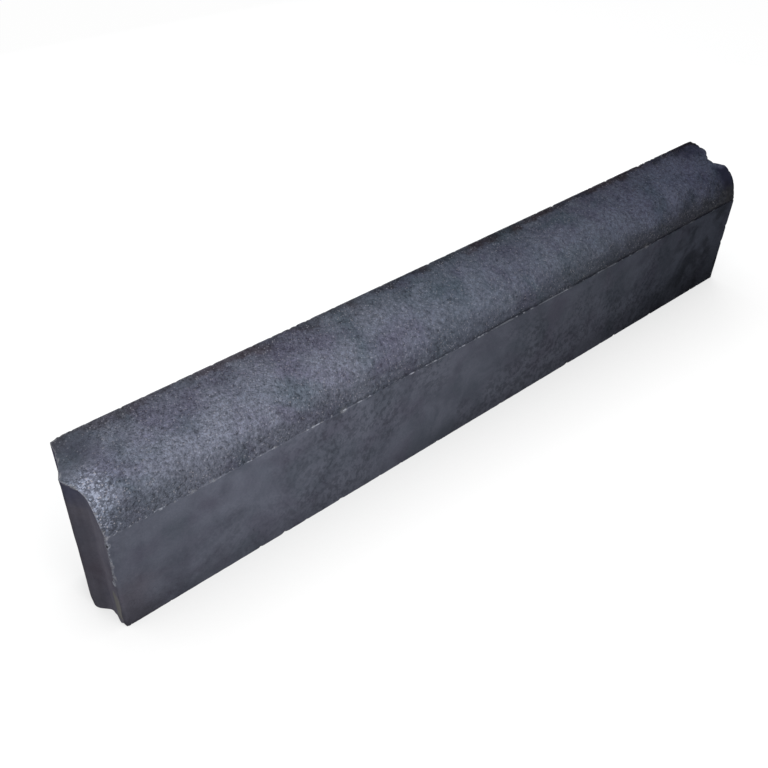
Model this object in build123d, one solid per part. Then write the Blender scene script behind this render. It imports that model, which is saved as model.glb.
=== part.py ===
"""Concrete kerb stone with a tongue on one end and a matching groove on the other.

It is one dry-pressed piece. The mould box forms the bed, the upright walls and the joint
on the ends, and the press head forms the crown, so a thin ledge runs along the front face
where the two halves of the mould met.

The stone stands as it is laid, in millimetres. +X runs along the kerb towards the groove,
-Y is the exposed front with the rounded shoulder, and +Z is up from the bed. The origin is
on the bed, half way along the laid length and half way through the thickness.
"""
from build123d import *
import math
import os

# Overall size: the laid length is from shoulder to shoulder, so the tongue stands out past it.
LAID_LENGTH = 1000.0
THICKNESS = 90.0
HEIGHT = 190.0

# Crown, the upper part that the press head forms, from the seam on the front to the back edge.
CROWN_RISE = 57.0
SEAM_LEDGE = 0.4
FLANK_LENGTH = 19.0
FLANK_LEAN = 16.5
SHOULDER_RADIUS = 38.0
CROWN_SLOPE = 16.5

# Joint: a round-nosed wedge on one end, and the groove that takes the next stone's wedge.
TONGUE_REACH = 12.5
NOSE_RADIUS = 10.0
WEDGE_TURN = 45.0
ROOT_RADIUS = 7.5
JOINT_GAP = 1.0

# Rounded upright corners, and the small bevel round the bed.
FRONT_CORNER_RADIUS = 4.0
BACK_CORNER_RADIUS = 6.0
BED_BEVEL = 0.8

# Length by which a shape that is cut to size runs past the stone.
OVERRUN = 10.0


def section():
    """The stone's section: an upright box under a leaning flank, a round shoulder and a low crown."""
    front, back = -THICKNESS / 2, THICKNESS / 2
    seam_height = HEIGHT - CROWN_RISE
    seam = (front + SEAM_LEDGE, seam_height)
    with BuildSketch(Plane.YZ) as face:
        with BuildLine():
            flank = PolarLine(seam, FLANK_LENGTH, 90 - FLANK_LEAN)
            shoulder = JernArc(flank @ 1, flank % 1, SHOULDER_RADIUS, CROWN_SLOPE + FLANK_LEAN - 90)
            TangentArc(shoulder @ 1, (back, HEIGHT), tangent=shoulder % 1)
            Polyline((back, HEIGHT), (back, 0), (front, 0), (front, seam_height), seam)
        make_face()
    return face.sketch


def joint_curve(end, gap):
    """Draws the wedge's outline in plan, past the end towards -X, and returns its half width at the end.

    From the nose's tip the line bends back by the wedge's turn, runs straight, and bends out
    again round the root. The gap makes the same outline larger all round, for the groove.
    """
    reach = TONGUE_REACH + gap
    nose_radius = NOSE_RADIUS + gap
    root_radius = ROOT_RADIUS - gap
    turn = math.radians(WEDGE_TURN)
    straight = (reach - (nose_radius + root_radius) * (1 - math.cos(turn))) / math.sin(turn)

    nose = JernArc((end - reach, 0), Axis.Y.direction, nose_radius, -WEDGE_TURN)
    side = PolarLine(nose @ 1, straight, 90 - WEDGE_TURN)
    root = JernArc(side @ 1, side % 1, root_radius, WEDGE_TURN)
    mirror([nose, side, root], about=Plane.XZ)
    return (root @ 1).Y


def plan_outline():
    """The stone seen from above: rounded corners, a wedge on the -X end and a groove in the +X end."""
    half_length, half_thickness = LAID_LENGTH / 2, THICKNESS / 2
    with BuildSketch(Plane.XY) as plan:
        with BuildLine():
            tongue_side = joint_curve(-half_length, 0)
            groove_side = joint_curve(half_length, JOINT_GAP)
            for facing in (-1, 1):
                edge = facing * half_thickness
                Polyline(
                    (-half_length, facing * tongue_side),
                    (-half_length, edge),
                    (half_length, edge),
                    (half_length, facing * groove_side),
                )
        make_face()
        fillet(plan.vertices().group_by(Axis.Y)[0], FRONT_CORNER_RADIUS)
        fillet(plan.vertices().group_by(Axis.Y)[-1], BACK_CORNER_RADIUS)
    return plan.sketch


def kerb_stone():
    """The section run along the kerb, cut to the plan outline and bevelled round the bed."""
    half_run = LAID_LENGTH / 2 + TONGUE_REACH + OVERRUN
    bar = extrude(section(), amount=half_run, both=True)
    stone = bar & extrude(plan_outline(), amount=HEIGHT + OVERRUN)
    return chamfer(stone.edges().group_by(Axis.Z)[0], BED_BEVEL)


os.makedirs("parts", exist_ok=True)
export_step(kerb_stone(), "parts/kerb_stone.step")
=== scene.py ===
# %% [markdown]
# # A dry-pressed concrete kerb stone
#
# The real stone is one casting. A stiff, almost dry mix is rammed into a steel box, and a press
# head squeezes it from above. The box leaves smooth, smeared walls and shapes the tongue and the
# groove on the ends. The head leaves an open, sandy crown. Where head and box meet, a little
# cement is squeezed out and dries as a thin, crumbly burr, the seam along the front.
#
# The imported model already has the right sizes. This lesson gives the stone its skin: one closed
# surface with worn arrises, chips, burr and slight waves, and three finishes for its kinds of face.

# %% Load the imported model, which every size below comes from
from functools import reduce

import bpy
import numpy as np
from mathutils import Matrix, Vector


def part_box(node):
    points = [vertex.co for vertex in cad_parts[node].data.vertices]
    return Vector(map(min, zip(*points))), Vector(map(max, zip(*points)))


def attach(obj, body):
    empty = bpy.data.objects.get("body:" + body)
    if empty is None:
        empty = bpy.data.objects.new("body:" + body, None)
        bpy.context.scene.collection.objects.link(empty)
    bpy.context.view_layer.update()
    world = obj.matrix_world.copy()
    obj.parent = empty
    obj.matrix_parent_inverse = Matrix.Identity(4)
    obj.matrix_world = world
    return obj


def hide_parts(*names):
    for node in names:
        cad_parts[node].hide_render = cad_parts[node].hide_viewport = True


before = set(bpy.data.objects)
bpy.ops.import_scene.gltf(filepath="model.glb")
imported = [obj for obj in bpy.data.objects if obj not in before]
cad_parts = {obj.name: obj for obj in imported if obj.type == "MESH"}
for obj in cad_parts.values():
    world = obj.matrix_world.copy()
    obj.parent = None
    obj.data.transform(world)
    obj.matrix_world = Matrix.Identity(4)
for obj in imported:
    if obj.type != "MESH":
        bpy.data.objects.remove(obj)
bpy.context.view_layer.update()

MM = 0.001
STONE = "kerb_stone"
low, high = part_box(STONE)
print("the packed stone reaches from", tuple(low), "to", tuple(high))

# %% [markdown]
# ## The camera
#
# A camera is a place, a point that it looks at, and a roll about its own line of sight. Stating
# it that way is easier to read and to correct than a rotation matrix. The photograph was taken
# from the tongue's end, above the front, with the camera tipped very slightly clockwise.

# %% Camera
CAMERA_PLACE = Vector((-0.69817, -0.6375, 0.8121))
CAMERA_AIM = Vector((-0.05467, 0.07847, 0.0))
CAMERA_ROLL = np.radians(1.845)
CAMERA_LENS = 45.19


def aimed(name, data, place, aim, roll=0.0):
    """Adds an object that looks from place towards aim: its -Z axis points there and its Y axis is
    up, turned by roll."""
    thing = bpy.data.objects.new(name, data)
    bpy.context.scene.collection.objects.link(thing)
    look = (aim - place).to_track_quat("-Z", "Y").to_matrix().to_4x4()
    thing.matrix_world = Matrix.Translation(place) @ look @ Matrix.Rotation(roll, 4, "Z")
    return thing


lens = bpy.data.cameras.new("camera")
lens.lens = CAMERA_LENS
lens.clip_start = 0.01
camera = aimed("camera", lens, CAMERA_PLACE, CAMERA_AIM, CAMERA_ROLL)
bpy.context.scene.camera = camera
print("camera stands", round((CAMERA_AIM - CAMERA_PLACE).length, 3), "m from what it looks at")

# %% [markdown]
# ## Light and floor
#
# The photograph's light is brightest a little way in from the near end and falls off towards
# the far one. A soft square lamp over the front gives that, and a second one grazes the tongue's
# end. A third, behind, lights the crown and the back without touching the front, and a fourth,
# low beyond the far end, shows the groove. A white, even world fills the shadows.

# %% Lamps and world
WHITE, COOL_WHITE = (1.0, 1.0, 1.0), (0.86, 0.93, 1.0)
SOFTBOXES = [
    ("front_softbox", 0.45, 6.7, WHITE, Vector((-0.38, -0.62, 0.74)), Vector((-0.25, -0.02, 0.14))),
    ("end_softbox", 0.50, 4.0, WHITE, Vector((-1.30, -0.27, 0.50)), Vector((-0.50, 0.0, 0.10))),
    ("back_softbox", 1.00, 9.5, COOL_WHITE, Vector((0.20, 1.15, 0.60)), Vector((0.05, 0.0, 0.10))),
    ("groove_softbox", 0.35, 5.0, WHITE, Vector((1.05, 0.62, 0.14)), Vector((0.42, 0.02, 0.09))),
]
WORLD_STRENGTH = 0.06


def add_softbox(name, side, power, colour, place, aim):
    """A square lamp that the camera doesn't see."""
    softbox = bpy.data.lights.new(name, "AREA")
    softbox.shape = "SQUARE"
    softbox.size = side
    softbox.energy = power
    softbox.color = colour
    aimed(name, softbox, place, aim).visible_camera = False


for softbox_values in SOFTBOXES:
    add_softbox(*softbox_values)

world = bpy.data.worlds.new("studio")
world.use_nodes = True
sky = world.node_tree.nodes["Background"].inputs
sky["Color"].default_value = (*WHITE, 1.0)
sky["Strength"].default_value = WORLD_STRENGTH
bpy.context.scene.world = world
bpy.context.scene.view_settings.view_transform = "Standard"
print("lamps of", [values[2] for values in SOFTBOXES], "W and a world of", WORLD_STRENGTH)

# %% [markdown]
# ## The floor
#
# The photograph's ground is white, with only the stone's soft shadow. White paint bright enough
# for that would throw light back up at the stone, so the paint is a middle grey, and a glow is
# added to it for the camera, glossy and transmitted rays alone. The glow dims close to the
# stone, by ambient occlusion, so that the shadow stays. The nodes are added by small helpers,
# which every material below uses too.


# %% Helpers that add nodes and do sums with them
def node(tree, kind, links=(), **settings):
    """Adds a node. Settings are its fields. Links are (input name or number, value or another
    node's output socket), and come after the settings, which may be what gives it its inputs."""
    made = tree.nodes.new(kind)
    for field, value in settings.items():
        setattr(made, field, value)
    for key, value in links:
        if isinstance(value, bpy.types.NodeSocket):
            tree.links.new(value, made.inputs[key])
        else:
            made.inputs[key].default_value = value
    return made


def maths(tree, operation, *values):
    """Works an operation through two or more numbers or sockets, from left to right."""
    def step(first, second):
        return node(tree, "ShaderNodeMath", ((0, first), (1, second)), operation=operation).outputs[0]
    return reduce(step, values)


def largest(tree, *values):
    """The largest of some numbers or sockets."""
    return maths(tree, "MAXIMUM", *values)


print("node helpers ready")

# %% Floor, which isn't part of the object
FLOOR_HALF = 30.0
FLOOR_PAINT = (0.14, 0.14, 0.14, 1.0)
FLOOR_GLOW = 0.97
SHADOW_REACH = 0.16
SHADOW_FROM = 0.45
SHADOW_TONE = 0.74

paper = bpy.data.materials.new("floor_paper")
paper.use_nodes = True
sheet = paper.node_tree
sheet.nodes.clear()
paint = node(sheet, "ShaderNodeBsdfDiffuse", (("Color", FLOOR_PAINT),))
contact = node(sheet, "ShaderNodeAmbientOcclusion", (("Distance", SHADOW_REACH),))
soften = node(sheet, "ShaderNodeMapRange", (
    ("Value", contact.outputs["AO"]), ("From Min", SHADOW_FROM),
    ("To Min", SHADOW_TONE * FLOOR_GLOW), ("To Max", FLOOR_GLOW)))
glow = node(sheet, "ShaderNodeEmission", (("Strength", soften.outputs["Result"]),))
both = node(sheet, "ShaderNodeAddShader", ((0, paint.outputs[0]), (1, glow.outputs[0])))
rays = node(sheet, "ShaderNodeLightPath").outputs
seen = largest(sheet, rays["Is Camera Ray"], rays["Is Glossy Ray"], rays["Is Transmission Ray"])
choose = node(sheet, "ShaderNodeMixShader", ((0, seen), (1, paint.outputs[0]), (2, both.outputs[0])))
node(sheet, "ShaderNodeOutputMaterial", (("Surface", choose.outputs[0]),))

floor_mesh = bpy.data.meshes.new("floor")
corner_signs = ((-1, -1), (1, -1), (1, 1), (-1, 1))
floor_corners = [(x * FLOOR_HALF, y * FLOOR_HALF, 0.0) for x, y in corner_signs]
floor_mesh.from_pydata(floor_corners, [], [(0, 1, 2, 3)])
floor_mesh.materials.append(paper)
floor = bpy.data.objects.new("floor", floor_mesh)
bpy.context.scene.collection.objects.link(floor)
print("floor of", 2 * FLOOR_HALF, "m")

# %% [markdown]
# ## The section
#
# Seen along its length the stone is an upright box under a crown. The crown is a straight leaning
# flank, then a round shoulder, then a low arc to the back edge. All three meet without a kink, so
# the simplest way to draw them is by heading: walk along the curve and turn at a steady rate on
# each arc. A point on an arc is then a difference of sines and cosines of its two headings.

# %% Sizes of the section
HEIGHT = high.z
CROWN_RISE = 57.0 * MM
SEAM_HEIGHT = HEIGHT - CROWN_RISE
SEAM_LEDGE = 0.4 * MM
FLANK_LENGTH = 19.0 * MM
FLANK_LEAN = 16.5
FLANK_HEADING = np.radians(90.0 - FLANK_LEAN)
SHOULDER_RADIUS = 38.0 * MM
CROWN_HEADING = np.radians(16.5)


def arc_point(start, first, radius, heading):
    """A point of an arc that leaves start at the heading first and bends towards +Y: y grows by
    radius times the difference of the sines of the two headings, and z by radius times that of
    their cosines."""
    y = start[0] + radius * (np.sin(first) - np.sin(heading))
    z = start[1] + radius * (np.cos(heading) - np.cos(first))
    return y, z


flank_foot = (low.y + SEAM_LEDGE, SEAM_HEIGHT)
flank_top = (
    flank_foot[0] + FLANK_LENGTH * np.cos(FLANK_HEADING),
    flank_foot[1] + FLANK_LENGTH * np.sin(FLANK_HEADING),
)
shoulder_end = arc_point(flank_top, FLANK_HEADING, SHOULDER_RADIUS, CROWN_HEADING)
shoulder_length = SHOULDER_RADIUS * (FLANK_HEADING - CROWN_HEADING)
# The crown's arc ends on the back edge. Its turn is twice the angle between its first heading
# and its chord.
chord_y, chord_z = high.y - shoulder_end[0], HEIGHT - shoulder_end[1]
crown_turn = 2 * (CROWN_HEADING - np.arctan2(chord_z, chord_y))
crown_radius = np.hypot(chord_y, chord_z) / (2 * np.sin(crown_turn / 2))
crown_length = crown_radius * crown_turn
OVER_TOP = FLANK_LENGTH + shoulder_length + crown_length
print("over the top the section measures", round(OVER_TOP / MM, 1), "mm")
print("its crown arc has a radius of", round(crown_radius / MM), "mm")


# %% Section by distance
def section_point(distance):
    """Points y, z of the crown and its heading, by distance from the seam: on the flank the
    distance times the heading's cosine and sine, and on each arc the heading falls by the
    distance over the radius."""
    on_shoulder = np.clip(distance - FLANK_LENGTH, 0, shoulder_length)
    on_crown = np.clip(distance - FLANK_LENGTH - shoulder_length, 0, None)
    heading = FLANK_HEADING - on_shoulder / SHOULDER_RADIUS - on_crown / crown_radius
    on_flank = np.minimum(distance, FLANK_LENGTH)
    flank_y = flank_foot[0] + on_flank * np.cos(FLANK_HEADING)
    flank_z = flank_foot[1] + on_flank * np.sin(FLANK_HEADING)
    shoulder_y, shoulder_z = arc_point(flank_top, FLANK_HEADING, SHOULDER_RADIUS, heading)
    crown_y, crown_z = arc_point(shoulder_end, CROWN_HEADING, crown_radius, heading)
    parts = [on_crown > 0, on_shoulder > 0]
    y = np.select(parts, [crown_y, shoulder_y], flank_y)
    z = np.select(parts, [crown_z, shoulder_z], flank_z)
    return y, z, heading


section_y, section_z, _ = section_point(np.linspace(0, OVER_TOP, 500))
print("the back edge comes out at y", section_y[-1].round(4), "and z", section_z[-1].round(4))

# %% [markdown]
# ## The ends in plan
#
# From above, each end is a flat shoulder with rounded corners. The tongue is a wedge with a
# round nose and round roots, and the groove is the same shape, a little larger, sunk into the
# other end. So one function of y gives how far an end stands out, and the groove only changes
# signs: what bulges on the tongue is hollow there. The front corners are sharp at the seam and
# wear rounder towards the bed, where the stone is gripped and set down. The press head reaches a
# little past the mould on the near end, so just under the crown the joint's roots are filled and
# a thin lip stands out over the shoulder.

# %% Sizes of the joint and of the upright corners
TONGUE_REACH = 12.5 * MM
NOSE_RADIUS = 10.0 * MM
WEDGE_TURN = np.radians(45.0)
ROOT_RADIUS = 7.5 * MM
JOINT_GAP = 1.0 * MM
CORNER_HEIGHTS = np.array([0.0, 60.0, 95.0, 133.0]) * MM
NEAR_CORNER_RADII = np.array([3.4, 4.2, 1.3, 1.2]) * MM
FAR_CORNER_RADII = np.array([4.0, 3.0, 2.0, 1.2]) * MM
NEAR_BACK_CORNER = 5.8 * MM
FAR_BACK_CORNER = 6.0 * MM
LIP_REACH, LIP_DEPTH, LIP_RUN_OUT = 1.3 * MM, 4.0 * MM, 8.0 * MM
FRONT_FILL, BACK_FILL, FILL_DEPTH = 1.75 * MM, 4.8 * MM, 16.0 * MM
GROOVE_FILL = 1.3 * MM
ROOT_PLACE, ROOT_SPREAD = 17.0 * MM, 5.0 * MM
BACK_FILL_PLACE, BACK_FILL_SPREAD = 18.5 * MM, 9.5 * MM
SCUFF, SCUFF_PLACE, SCUFF_SPREAD = 1.6 * MM, -6.0 * MM, 5.0 * MM
RIDGE_Y, RIDGE_SPREAD, RIDGE_REACH, RIDGE_HEIGHT = -36.0 * MM, 6.0 * MM, 1.2 * MM, 42.0 * MM
NOSE_WEAR, NOSE_WEAR_HEIGHT = 1.4 * MM, 15.0 * MM
TONGUE_SHOULDER = low.x + TONGUE_REACH
GROOVE_SHOULDER = high.x


def ease(t):
    """The smooth step from 0 to 1: three times t squared less twice t cubed."""
    t = np.clip(t, 0, 1)
    return t * t * (3 - 2 * t)


def wedge(y, gap):
    """How far the wedge stands out at y. The nose is an arc that turns by WEDGE_TURN, the side is
    straight, and the root's arc turns back by as much. An arc of radius r that has turned by a
    has gone r sin a sideways and r (1 - cos a) down. For the groove the gap adds to the reach
    and the nose, and comes off the root."""
    reach, nose, root = TONGUE_REACH + gap, NOSE_RADIUS + gap, ROOT_RADIUS - gap
    sine, dip = np.sin(WEDGE_TURN), 1 - np.cos(WEDGE_TURN)
    side_from = nose * sine
    side_to = side_from + (reach - (nose + root) * dip) / np.tan(WEDGE_TURN)
    foot = side_to + root * sine
    away = np.abs(y)
    on_nose = reach - nose + np.sqrt(np.clip(nose**2 - away**2, 0, None))
    on_side = reach - nose * dip - (away - side_from) * np.tan(WEDGE_TURN)
    on_root = root - np.sqrt(np.clip(root**2 - (foot - away) ** 2, 0, None))
    return np.select([away < side_from, away < side_to, away < foot], [on_nose, on_side, on_root], 0.0)


def corner_loss(y, z, front_radii, back_radius):
    """How far a rounded upright corner draws the end back: the corner's radius less the height of
    its arc. The front radius changes with the height."""
    front_radius = np.interp(z, CORNER_HEIGHTS, front_radii)
    front = np.clip(low.y + front_radius - y, 0, front_radius)
    back = np.clip(y - high.y + back_radius, 0, back_radius)
    front_loss = front_radius - np.sqrt(front_radius**2 - front**2)
    back_loss = back_radius - np.sqrt(back_radius**2 - back**2)
    return front_loss + back_loss


def hump(y, place, spread):
    """A bell of height 1 round a place: e to the power of minus the squared distance in spreads."""
    return np.exp(-(((y - place) / spread) ** 2))


def press_lip(y, z):
    """How far concrete stands out past the wedge near the crown: the lip, which runs out towards the
    front corner and at the nose, and the filled roots, less what is scuffed off the nose's front
    side. Each fades with the depth under the crown."""
    depth = np.interp(y, section_y, section_z) - z
    lip = LIP_REACH * ease((-y - NOSE_RADIUS / 2) / NOSE_RADIUS) * ease((y - low.y) / LIP_RUN_OUT)
    fill = FRONT_FILL * hump(y, -ROOT_PLACE, ROOT_SPREAD)
    fill += BACK_FILL * hump(y, BACK_FILL_PLACE, BACK_FILL_SPREAD)
    fill -= SCUFF * hump(y, SCUFF_PLACE, SCUFF_SPREAD)
    return lip * (1 - ease(depth / LIP_DEPTH)) + fill * (1 - ease(depth / FILL_DEPTH))


def foot_shape(y, z):
    """What stands out near the bed: a low ridge of spilt cement on the front shoulder, less what
    is worn off the nose."""
    ridge = RIDGE_REACH * hump(y, RIDGE_Y, RIDGE_SPREAD) * (1 - ease(z / RIDGE_HEIGHT))
    return ridge - NOSE_WEAR * hump(y, 0.0, NOSE_RADIUS) * (1 - ease(z / NOSE_WEAR_HEIGHT))


def tongue_end(y, z):
    """x of the -X end: the shoulder, less what stands out from it, plus what the corners lose."""
    stands_out = wedge(y, 0.0) + press_lip(y, z) + foot_shape(y, z)
    return TONGUE_SHOULDER - stands_out + corner_loss(y, z, NEAR_CORNER_RADII, NEAR_BACK_CORNER)


def groove_end(y, z):
    """x of the +X end: the shoulder, less the groove's depth and what the corners lose. The press
    head leaves a little concrete in the groove's front side too."""
    depth = np.interp(y, section_y, section_z) - z
    fill = GROOVE_FILL * hump(y, ROOT_SPREAD / 2 - ROOT_PLACE, ROOT_SPREAD)
    sunk = np.clip(wedge(y, JOINT_GAP) - fill * (1 - ease(depth / FILL_DEPTH)), 0, None)
    return GROOVE_SHOULDER - sunk - corner_loss(y, z, FAR_CORNER_RADII, FAR_BACK_CORNER)


print("half way up, the tongue's nose is at x", round(float(tongue_end(0.0, HEIGHT / 2)), 4))
print("half way up, the groove's bottom is at x", round(float(groove_end(0.0, HEIGHT / 2)), 4))

# %% [markdown]
# ## A block of lattice points
#
# The skin is the outside of a lattice: so many stations along the stone, across it and up it.
# Each of its six faces is then a plain grid, and neighbouring faces share their border points
# by number, so the surface is closed without any merging. Stations crowd towards the edges,
# where the wear is, and towards the near end, and spread out in the middle.

# %% Stations
ARRIS_STEPS = np.array([0.0, 0.2, 0.45, 0.8, 1.4, 2.4, 3.8]) * MM
ALONG_FINE = 1.7 * MM
ALONG_COARSE = 2.7 * MM
FINE_REACH = 90.0 * MM
OVER_STEP = 2.25 * MM
UP_STEP = 3.3 * MM
FOOT_STEPS = np.array([0.0, 0.5, 1.1, 2.0, 3.2]) * MM


def spread(first, last, step):
    """Evenly spaced stations from first to last, both included, about one step apart."""
    return np.linspace(first, last, int(round((last - first) / step)) + 1)


fine_end = TONGUE_SHOULDER + FINE_REACH
along = np.concatenate([
    TONGUE_SHOULDER + ARRIS_STEPS[:-1],
    spread(TONGUE_SHOULDER + ARRIS_STEPS[-1], fine_end, ALONG_FINE),
    spread(fine_end, GROOVE_SHOULDER - ARRIS_STEPS[-1], ALONG_COARSE)[1:],
    (GROOVE_SHOULDER - ARRIS_STEPS[:-1])[::-1],
])
over = np.concatenate([
    FOOT_STEPS[:-1],
    spread(FOOT_STEPS[-1], OVER_TOP - ARRIS_STEPS[-1], OVER_STEP),
    (OVER_TOP - ARRIS_STEPS[:-1])[::-1],
])
up = np.concatenate([
    ARRIS_STEPS[:-1],
    spread(ARRIS_STEPS[-1], SEAM_HEIGHT - ARRIS_STEPS[-1], UP_STEP),
    (SEAM_HEIGHT - ARRIS_STEPS[:-1])[::-1],
]) / SEAM_HEIGHT
print(len(along), "stations along,", len(over) + 2, "across and", len(up), "up")

# %% Columns across the stone: two on the seam's ledge, the rest over the crown
over_y, over_z, over_heading = section_point(over)
column_y = np.concatenate([[low.y, low.y + SEAM_LEDGE / 2], over_y])
column_top = np.concatenate([[SEAM_HEIGHT, SEAM_HEIGHT], over_z])
column_heading = np.concatenate([[0.0, 0.0], over_heading])
column_over = np.concatenate([[0.0, 0.0], over])
END_FADE = 60.0 * MM


def stations_x(y, z):
    """x of every station for places y, z: the ends follow the plan, and the stations between them
    ease back to the plain spacing."""
    near = (1 - ease((along - TONGUE_SHOULDER) / END_FADE))[:, None]
    far = (1 - ease((GROOVE_SHOULDER - along) / END_FADE))[:, None]
    near_move = near * (tongue_end(y, z) - TONGUE_SHOULDER)
    far_move = far * (groove_end(y, z) - GROOVE_SHOULDER)
    return along[:, None] + near_move + far_move


crown_x = stations_x(column_y, column_top)
bed_x = stations_x(column_y, np.zeros_like(column_y))
front_x = stations_x(low.y, up * SEAM_HEIGHT)
back_x = stations_x(high.y, up * HEIGHT)
print("the crown's columns start between x", crown_x[0].min().round(4),
      "and", crown_x[0].max().round(4))

# %% [markdown]
# ## Worn arrises
#
# No cast edge is sharp. Near an arris the skin rolls over on an arc: a point that lay at a
# distance a from the edge moves to where the arc has turned by 45 degrees times 1 - a/r. The two
# faces that meet reach the same 45 degree point, so they still share the edge. The radius itself
# wanders, because a pressed edge crumbles here and holds there.


# %% Random waves, used for every kind of unevenness
def waves(places, length, seed, count=28):
    """A smooth random height of unit spread: the sum of sine waves with random directions, phases
    and lengths near the one given, times the square root of two over their number."""
    rng = np.random.default_rng(seed)
    direction = rng.normal(size=(3, count))
    direction /= np.linalg.norm(direction, axis=0)
    pace = 2 * np.pi / (length * rng.uniform(0.7, 1.5, count))
    phase = rng.uniform(0, 2 * np.pi, count)
    return np.sin(places @ (direction * pace) + phase).sum(-1) * np.sqrt(2 / count)


def roll_over(places, normal, inward, distance, radius):
    """Rolls a face over its arris. The arc has turned by psi, which is 45 degrees at the edge and
    0 one radius in: the point lands radius x (1 - sin psi) from the edge and
    radius x (1 - cos psi) below the face."""
    share = np.clip(1 - distance / radius, 0, 1)
    psi = share * np.pi / 4
    slide = np.where(share > 0, radius * (1 - np.sin(psi)) - distance, 0.0)
    sink = radius * (1 - np.cos(psi))
    return places + slide[..., None] * inward - sink[..., None] * normal


X_AXIS, Y_AXIS, Z_AXIS = np.eye(3)
CROWN_ARRIS = 0.40 * MM
BED_ARRIS = 0.45 * MM
CRUMBLE_LENGTH, CRUMBLE_SEED = 9.0 * MM, 11
CRUMBLE, LEAST_ARRIS, MOST_ARRIS = 0.28, 0.45, 1.8


def arris_radius(places, base):
    """The arris's radius there: the base, more or less as the edge crumbles or holds."""
    crumbled = 1 + CRUMBLE * waves(places, CRUMBLE_LENGTH, CRUMBLE_SEED)
    return base * np.clip(crumbled, LEAST_ARRIS, MOST_ARRIS)


def roll_ends(face, normal, stations, base):
    """Rolls a face over its two end arrises, by how far its stations are from the first and last."""
    for first, toward in ((0, X_AXIS), (-1, -X_AXIS)):
        gap = np.abs(stations - stations[first])
        face = roll_over(face, normal, toward, gap, arris_radius(face[first], base))
    return face


print("arrises are rounded by about", CROWN_ARRIS / MM, "mm, and on the bed by", BED_ARRIS / MM, "mm")

# %% Crown and bed, each a grid of places with its normals
SLOPE_STEP = 0.05 * MM


def grid(x, y, z):
    """Stacks three coordinates of one shape, or that broadcast to one, into places."""
    return np.stack(np.broadcast_arrays(x, y, z), axis=-1)


def plan_normal(end, y, z, outward):
    """The normal of an end in plan: across the slope of x over y, on the outward side."""
    ahead = np.clip(y + SLOPE_STEP, low.y, high.y)
    behind = np.clip(y - SLOPE_STEP, low.y, high.y)
    slope = (end(ahead, z) - end(behind, z)) / (ahead - behind)
    normal = np.stack([np.ones_like(slope), -slope, np.zeros_like(slope)], axis=-1)
    return outward * normal / np.linalg.norm(normal, axis=-1, keepdims=True)


crown_normal = grid(0.0, -np.sin(column_heading), np.cos(column_heading))
crown_inward = -grid(0.0, np.cos(column_heading), np.sin(column_heading))
crown = roll_ends(grid(crown_x, column_y, column_top), crown_normal, crown_x, CROWN_ARRIS)
back_gap = np.broadcast_to(OVER_TOP - column_over, crown.shape[:2])
back_radius = arris_radius(crown[:, -1:], CROWN_ARRIS)
crown = roll_over(crown, crown_normal, crown_inward, back_gap, back_radius)

bed = roll_ends(grid(bed_x, column_y, 0.0), -Z_AXIS, bed_x, BED_ARRIS)
for column, toward in ((0, Y_AXIS), (-1, -Y_AXIS)):
    gap = np.broadcast_to(np.abs(column_y - column_y[column]), bed.shape[:2])
    bed = roll_over(bed, -Z_AXIS, toward, gap, arris_radius(bed[:, [column]], BED_ARRIS))
print("crown and bed grids of", crown.shape[:2])

# %% Walls and ends
front = grid(front_x, low.y, up * SEAM_HEIGHT)
front = roll_over(front, -Y_AXIS, Z_AXIS, front[..., 2], arris_radius(front[:, :1], BED_ARRIS))
back = grid(back_x, high.y, up * HEIGHT)
back_edge = arris_radius(back[:, -1:], CROWN_ARRIS)
back = roll_over(back, Y_AXIS, Z_AXIS, back[..., 2], arris_radius(back[:, :1], BED_ARRIS))
back = roll_over(back, Y_AXIS, -Z_AXIS, HEIGHT - back[..., 2], back_edge)

ends = []
for end, outward in ((tongue_end, -1), (groove_end, 1)):
    y, z = np.broadcast_arrays(column_y[:, None], column_top[:, None] * up)
    normal = plan_normal(end, y, z, outward)
    face = grid(end(y, z), y, z)
    top_gap = column_top[:, None] - z
    top_edge = arris_radius(face[:, -1:], CROWN_ARRIS)
    face = roll_over(face, normal, Z_AXIS, face[..., 2], arris_radius(face[:, :1], BED_ARRIS))
    ends.append(roll_over(face, normal, -Z_AXIS, top_gap, top_edge))
tongue_face, groove_face = ends
print("wall grids of", front.shape[:2], "and end grids of", tongue_face.shape[:2])

# %% [markdown]
# ## One closed skin
#
# Every lattice point that lies on the outside gets a number. A face of the lattice reads its
# numbers from a slice, writes its places there, and where faces share an edge the places are
# averaged. Cutting each slice into quads gives the faces, turned over where the grid's own
# order points inwards.

# %% Number the points and gather the places
shape = (len(along), len(column_y), len(up))
outside = np.zeros(shape, bool)
outside[[0, -1]] = outside[:, [0, -1]] = outside[:, :, [0, -1]] = True
number = np.full(shape, -1)
number[outside] = np.arange(outside.sum())

CROWN_FINISH, WALL_FINISH, END_FINISH, BED_FINISH = range(4)
faces_of_stone = [
    (number[:, :, -1], crown, False, CROWN_FINISH),
    (number[:, :, 0], bed, True, BED_FINISH),
    (number[:, 0, :], front, False, WALL_FINISH),
    (number[:, -1, :], back, True, WALL_FINISH),
    (number[0], tongue_face, True, END_FINISH),
    (number[-1], groove_face, False, END_FINISH),
]
total = int(outside.sum())
skin, shared = np.zeros((total, 3)), np.zeros(total)
for ids, places, _, _ in faces_of_stone:
    skin[ids.ravel()] += places.reshape(-1, 3)
    shared[ids.ravel()] += 1
skin /= shared[:, None]
print(total, "points, of which", int((shared > 1).sum()), "lie on arrises")


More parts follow.
